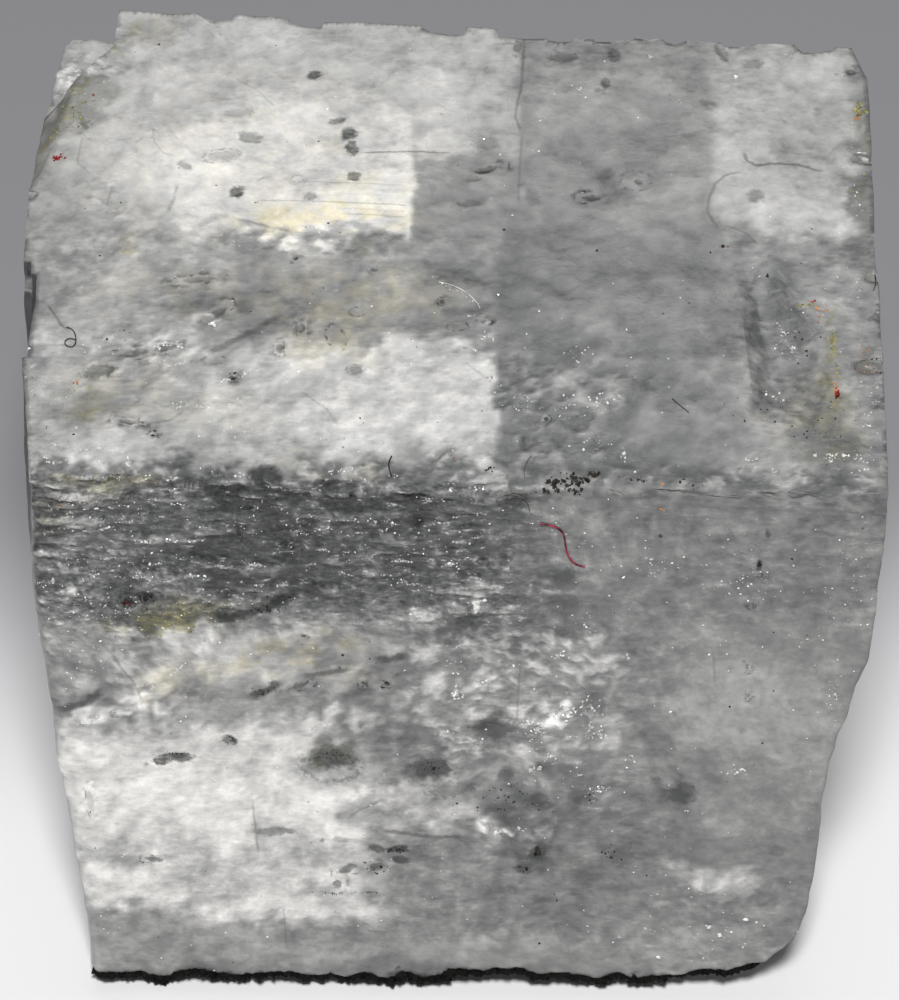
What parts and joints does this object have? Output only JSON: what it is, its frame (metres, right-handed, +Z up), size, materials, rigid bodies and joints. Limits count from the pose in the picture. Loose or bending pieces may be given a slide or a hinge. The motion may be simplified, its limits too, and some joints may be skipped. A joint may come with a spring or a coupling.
{
  "type": "halite cubic crystal",
  "caption": "Clear to cloudy cleavage block of rock salt, nearly a cube, with stepped and chipped edges, resting on its flat base.",
  "frame": {"origin": "middle of the block's base, on the surface it rests on", "axes": "+X along the long front ridge, +Y back into the block, +Z up"},
  "size_m": [0.0256, 0.022, 0.0223],
  "materials": {
    "halite": "clear to milky salt with satin cleavage faces, grey clay and rust stains"
  },
  "bodies": {
    "root": {"halite_crystal": "halite"}
  },
  "joints": []
}
